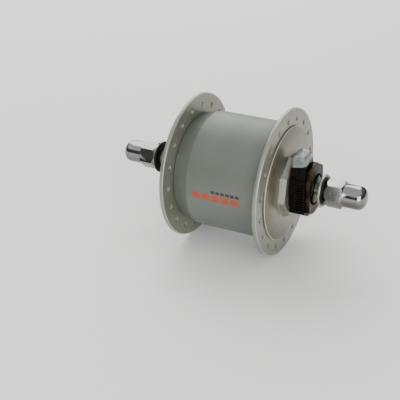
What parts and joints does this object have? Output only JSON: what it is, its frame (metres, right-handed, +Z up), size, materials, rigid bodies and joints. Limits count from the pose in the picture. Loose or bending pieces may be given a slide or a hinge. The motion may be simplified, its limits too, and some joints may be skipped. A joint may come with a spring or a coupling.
{
  "type": "bicycle generator hub",
  "caption": "Front bicycle hub that makes current for a lamp: a fixed axle and coil inside a turning shell with two spoke flanges, dome nuts and a side connector.",
  "frame": {"origin": "centre of the hub: on the axle line, half way between the two spoke flanges and between the two nut tips", "axes": "+Y along the axle away from the connector, so the connector is at -Y; +Z up, the way the connector stands; +X forward"},
  "size_m": [0.09, 0.161, 0.09],
  "materials": {
    "shell": "satin silver paint over aluminium",
    "flange": "satin clear-coated aluminium",
    "end_cap": "fine turned aluminium",
    "steel": "ground steel",
    "zinc": "zinc plated steel",
    "chrome": "polished chrome plate",
    "black_steel": "black oxide",
    "black_plastic": "moulded nylon, semi gloss",
    "clear_plastic": "clear soft vinyl",
    "rubber": "matt black rubber",
    "iron": "pressed soft iron",
    "ferrite": "dull ferrite",
    "copper": "enamelled copper wire",
    "bobbin_plastic": "natural nylon",
    "wire_jacket": "white insulation",
    "tin": "tin plated brass"
  },
  "bodies": {
    "axle_unit": {"axle": "zinc", "right_cone": "steel", "left_cone": "steel", "right_spacer": "zinc", "left_spacer": "zinc", "right_locknut": "black_steel", "left_locknut": "zinc", "left_dust_cap": "black_plastic", "stator_sleeve": "iron", "right_claw_plate": "iron", "left_claw_plate": "iron", "coil_bobbin": "bobbin_plastic", "coil_winding": "copper", "stator_nut": "zinc", "lead_wire": "wire_jacket", "connector_body": "black_plastic", "connector_cover": "black_plastic", "ground_washer": "tin", "live_terminal": "tin", "ground_terminal": "tin"},
    "hub": {"hub_shell": "shell", "right_flange": "flange", "left_flange": "flange", "right_end_cap": "end_cap", "left_end_cap": "end_cap", "magnet_yoke": "iron", "magnet_segments": "ferrite", "right_cup": "steel", "left_cup": "steel", "right_seal": "rubber", "left_seal": "rubber"},
    "right_cage": {"right_balls": "chrome", "right_ball_retainer": "steel"},
    "left_cage": {"left_balls": "chrome", "left_ball_retainer": "steel"},
    "terminal_cap": {"terminal_cap": "clear_plastic"},
    "right_nut": {"right_cap_nut": "chrome", "right_nut_washer": "black_steel", "right_axle_washer": "zinc"},
    "left_nut": {"left_cap_nut": "chrome", "left_nut_washer": "zinc", "left_axle_washer": "black_steel"}
  },
  "joints": [
    {"name": "hub_spin", "type": "hinge", "parent": "axle_unit", "child": "hub", "pos_m": [0, 0, 0], "axis": [0, 1, 0], "continuous": true},
    {"name": "right_cage_spin", "type": "hinge", "parent": "axle_unit", "child": "right_cage", "pos_m": [0, -0.03325, 0], "axis": [0, 1, 0], "continuous": true},
    {"name": "left_cage_spin", "type": "hinge", "parent": "axle_unit", "child": "left_cage", "pos_m": [0, 0.03325, 0], "axis": [0, 1, 0], "continuous": true},
    {"name": "terminal_cap_pull", "type": "slide", "parent": "axle_unit", "child": "terminal_cap", "axis": [-0.1392, 0, 0.9903], "range_m": [0, 0.01]},
    {"name": "right_nut_travel", "type": "slide", "parent": "axle_unit", "child": "right_nut", "axis": [0, -1, 0], "range_m": [0, 0.024]},
    {"name": "left_nut_travel", "type": "slide", "parent": "axle_unit", "child": "left_nut", "axis": [0, 1, 0], "range_m": [0, 0.024]}
  ],
  "couplings": [
    {"joint": "right_cage_spin", "follows": "hub_spin", "ratio": 0.5895},
    {"joint": "left_cage_spin", "follows": "hub_spin", "ratio": 0.5895}
  ]
}
